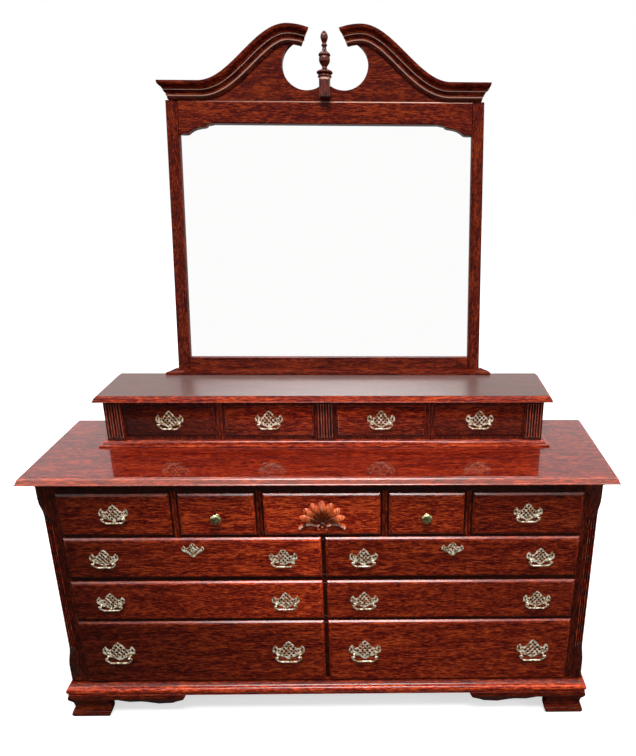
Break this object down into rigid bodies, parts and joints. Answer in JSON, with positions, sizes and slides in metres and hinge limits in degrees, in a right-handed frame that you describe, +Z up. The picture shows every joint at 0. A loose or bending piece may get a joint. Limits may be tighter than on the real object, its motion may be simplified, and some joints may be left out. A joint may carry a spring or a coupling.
{
  "type": "dresser with mirror",
  "caption": "Traditional dark cherry dresser with lipped drawers, brass bail pulls, ogee bracket feet, a small drawer gallery and a leaning mirror under a swan-neck pediment.",
  "frame": {"origin": "on the floor, under the middle of the outline box", "axes": "+Z up, +X to the right of someone facing the drawers, front towards -Y"},
  "size_m": [1.712, 0.6786, 2.0892],
  "materials": {
    "cherry_wood": "glossy lacquer",
    "plain_wood": "bare board",
    "brass": "polished",
    "mirror_glass": "silvered"
  },
  "bodies": {
    "case": {"case_side_right": "cherry_wood", "case_side_left": "cherry_wood", "case_back": "plain_wood", "case_plinth": "cherry_wood", "case_top": "cherry_wood", "top_row_frame": "cherry_wood", "centre_divider": "cherry_wood", "rail_row4_row3": "cherry_wood", "rail_row3_row2": "cherry_wood", "rail_row2_row1": "cherry_wood", "foot_front_right": "cherry_wood", "foot_front_left": "cherry_wood", "foot_rear_right": "cherry_wood", "foot_rear_left": "cherry_wood", "gallery_base": "cherry_wood", "gallery_frame": "cherry_wood", "gallery_top": "cherry_wood", "mirror_stile_right": "cherry_wood", "mirror_stile_left": "cherry_wood", "mirror_bottom_rail": "cherry_wood", "mirror_top_rail": "cherry_wood", "mirror_glass": "mirror_glass", "mirror_back": "plain_wood", "pediment_board": "cherry_wood", "swan_neck_right": "cherry_wood", "swan_neck_left": "cherry_wood", "finial": "cherry_wood"},
    "drawer_row1_1": {"drawer_row1_1": "cherry_wood"},
    "drawer_row1_2": {"drawer_row1_2": "cherry_wood"},
    "drawer_row1_3": {"drawer_row1_3": "cherry_wood"},
    "drawer_row1_4": {"drawer_row1_4": "cherry_wood"},
    "drawer_row1_5": {"drawer_row1_5": "cherry_wood"},
    "drawer_row2_left": {"drawer_row2_left": "cherry_wood"},
    "drawer_row2_right": {"drawer_row2_right": "cherry_wood"},
    "drawer_row3_left": {"drawer_row3_left": "cherry_wood"},
    "drawer_row3_right": {"drawer_row3_right": "cherry_wood"},
    "drawer_row4_left": {"drawer_row4_left": "cherry_wood"},
    "drawer_row4_right": {"drawer_row4_right": "cherry_wood"},
    "drawer_gallery_1": {"drawer_gallery_1": "cherry_wood"},
    "drawer_gallery_2": {"drawer_gallery_2": "cherry_wood"},
    "drawer_gallery_3": {"drawer_gallery_3": "cherry_wood"},
    "drawer_gallery_4": {"drawer_gallery_4": "cherry_wood"},
    "bail_row1_1": {"bail_row1_1": "brass"},
    "bail_row1_2": {"bail_row1_2": "brass"},
    "bail_row2_1": {"bail_row2_1": "brass"},
    "bail_row2_2": {"bail_row2_2": "brass"},
    "bail_row2_3": {"bail_row2_3": "brass"},
    "bail_row2_4": {"bail_row2_4": "brass"},
    "bail_row3_1": {"bail_row3_1": "brass"},
    "bail_row3_2": {"bail_row3_2": "brass"},
    "bail_row3_3": {"bail_row3_3": "brass"},
    "bail_row3_4": {"bail_row3_4": "brass"},
    "bail_row4_1": {"bail_row4_1": "brass"},
    "bail_row4_2": {"bail_row4_2": "brass"},
    "bail_row4_3": {"bail_row4_3": "brass"},
    "bail_row4_4": {"bail_row4_4": "brass"},
    "bail_gallery_1": {"bail_gallery_1": "brass"},
    "bail_gallery_2": {"bail_gallery_2": "brass"},
    "bail_gallery_3": {"bail_gallery_3": "brass"},
    "bail_gallery_4": {"bail_gallery_4": "brass"}
  },
  "joints": [
    {"name": "slide_drawer_row1_1", "type": "slide", "parent": "case", "child": "drawer_row1_1", "axis": [0, -1, 0], "range_m": [0, 0.3]},
    {"name": "slide_drawer_row1_2", "type": "slide", "parent": "case", "child": "drawer_row1_2", "axis": [0, -1, 0], "range_m": [0, 0.3]},
    {"name": "slide_drawer_row1_3", "type": "slide", "parent": "case", "child": "drawer_row1_3", "axis": [0, -1, 0], "range_m": [0, 0.3]},
    {"name": "slide_drawer_row1_4", "type": "slide", "parent": "case", "child": "drawer_row1_4", "axis": [0, -1, 0], "range_m": [0, 0.3]},
    {"name": "slide_drawer_row1_5", "type": "slide", "parent": "case", "child": "drawer_row1_5", "axis": [0, -1, 0], "range_m": [0, 0.3]},
    {"name": "slide_drawer_row2_left", "type": "slide", "parent": "case", "child": "drawer_row2_left", "axis": [0, -1, 0], "range_m": [0, 0.3]},
    {"name": "slide_drawer_row2_right", "type": "slide", "parent": "case", "child": "drawer_row2_right", "axis": [0, -1, 0], "range_m": [0, 0.3]},
    {"name": "slide_drawer_row3_left", "type": "slide", "parent": "case", "child": "drawer_row3_left", "axis": [0, -1, 0], "range_m": [0, 0.3]},
    {"name": "slide_drawer_row3_right", "type": "slide", "parent": "case", "child": "drawer_row3_right", "axis": [0, -1, 0], "range_m": [0, 0.3]},
    {"name": "slide_drawer_row4_left", "type": "slide", "parent": "case", "child": "drawer_row4_left", "axis": [0, -1, 0], "range_m": [0, 0.3]},
    {"name": "slide_drawer_row4_right", "type": "slide", "parent": "case", "child": "drawer_row4_right", "axis": [0, -1, 0], "range_m": [0, 0.3]},
    {"name": "slide_drawer_gallery_1", "type": "slide", "parent": "case", "child": "drawer_gallery_1", "axis": [0, -1, 0], "range_m": [0, 0.13]},
    {"name": "slide_drawer_gallery_2", "type": "slide", "parent": "case", "child": "drawer_gallery_2", "axis": [0, -1, 0], "range_m": [0, 0.13]},
    {"name": "slide_drawer_gallery_3", "type": "slide", "parent": "case", "child": "drawer_gallery_3", "axis": [0, -1, 0], "range_m": [0, 0.13]},
    {"name": "slide_drawer_gallery_4", "type": "slide", "parent": "case", "child": "drawer_gallery_4", "axis": [0, -1, 0], "range_m": [0, 0.13]},
    {"name": "swing_bail_row1_1", "type": "hinge", "parent": "drawer_row1_1", "child": "bail_row1_1", "pos_m": [-0.603, -0.31928, 0.7355], "axis": [-1, 0, 0], "range_deg": [0, 100]},
    {"name": "swing_bail_row1_2", "type": "hinge", "parent": "drawer_row1_5", "child": "bail_row1_2", "pos_m": [0.603, -0.31928, 0.7355], "axis": [-1, 0, 0], "range_deg": [0, 100]},
    {"name": "swing_bail_row2_1", "type": "hinge", "parent": "drawer_row2_left", "child": "bail_row2_1", "pos_m": [-0.651, -0.31928, 0.585], "axis": [-1, 0, 0], "range_deg": [0, 100]},
    {"name": "swing_bail_row2_2", "type": "hinge", "parent": "drawer_row2_left", "child": "bail_row2_2", "pos_m": [-0.12, -0.31928, 0.585], "axis": [-1, 0, 0], "range_deg": [0, 100]},
    {"name": "swing_bail_row2_3", "type": "hinge", "parent": "drawer_row2_right", "child": "bail_row2_3", "pos_m": [0.12, -0.31928, 0.585], "axis": [-1, 0, 0], "range_deg": [0, 100]},
    {"name": "swing_bail_row2_4", "type": "hinge", "parent": "drawer_row2_right", "child": "bail_row2_4", "pos_m": [0.651, -0.31928, 0.585], "axis": [-1, 0, 0], "range_deg": [0, 100]},
    {"name": "swing_bail_row3_1", "type": "hinge", "parent": "drawer_row3_left", "child": "bail_row3_1", "pos_m": [-0.651, -0.31928, 0.432], "axis": [-1, 0, 0], "range_deg": [0, 100]},
    {"name": "swing_bail_row3_2", "type": "hinge", "parent": "drawer_row3_left", "child": "bail_row3_2", "pos_m": [-0.12, -0.31928, 0.432], "axis": [-1, 0, 0], "range_deg": [0, 100]},
    {"name": "swing_bail_row3_3", "type": "hinge", "parent": "drawer_row3_right", "child": "bail_row3_3", "pos_m": [0.12, -0.31928, 0.432], "axis": [-1, 0, 0], "range_deg": [0, 100]},
    {"name": "swing_bail_row3_4", "type": "hinge", "parent": "drawer_row3_right", "child": "bail_row3_4", "pos_m": [0.651, -0.31928, 0.432], "axis": [-1, 0, 0], "range_deg": [0, 100]},
    {"name": "swing_bail_row4_1", "type": "hinge", "parent": "drawer_row4_left", "child": "bail_row4_1", "pos_m": [-0.651, -0.32128, 0.24], "axis": [-1, 0, 0], "range_deg": [0, 100]},
    {"name": "swing_bail_row4_2", "type": "hinge", "parent": "drawer_row4_left", "child": "bail_row4_2", "pos_m": [-0.12, -0.32128, 0.24], "axis": [-1, 0, 0], "range_deg": [0, 100]},
    {"name": "swing_bail_row4_3", "type": "hinge", "parent": "drawer_row4_right", "child": "bail_row4_3", "pos_m": [0.12, -0.32128, 0.24], "axis": [-1, 0, 0], "range_deg": [0, 100]},
    {"name": "swing_bail_row4_4", "type": "hinge", "parent": "drawer_row4_right", "child": "bail_row4_4", "pos_m": [0.651, -0.32128, 0.24], "axis": [-1, 0, 0], "range_deg": [0, 100]},
    {"name": "swing_bail_gallery_1", "type": "hinge", "parent": "drawer_gallery_1", "child": "bail_gallery_1", "pos_m": [-0.476, -0.11328, 0.946], "axis": [-1, 0, 0], "range_deg": [0, 100]},
    {"name": "swing_bail_gallery_2", "type": "hinge", "parent": "drawer_gallery_2", "child": "bail_gallery_2", "pos_m": [-0.172, -0.11328, 0.946], "axis": [-1, 0, 0], "range_deg": [0, 100]},
    {"name": "swing_bail_gallery_3", "type": "hinge", "parent": "drawer_gallery_3", "child": "bail_gallery_3", "pos_m": [0.172, -0.11328, 0.946], "axis": [-1, 0, 0], "range_deg": [0, 100]},
    {"name": "swing_bail_gallery_4", "type": "hinge", "parent": "drawer_gallery_4", "child": "bail_gallery_4", "pos_m": [0.476, -0.11328, 0.946], "axis": [-1, 0, 0], "range_deg": [0, 100]}
  ]
}
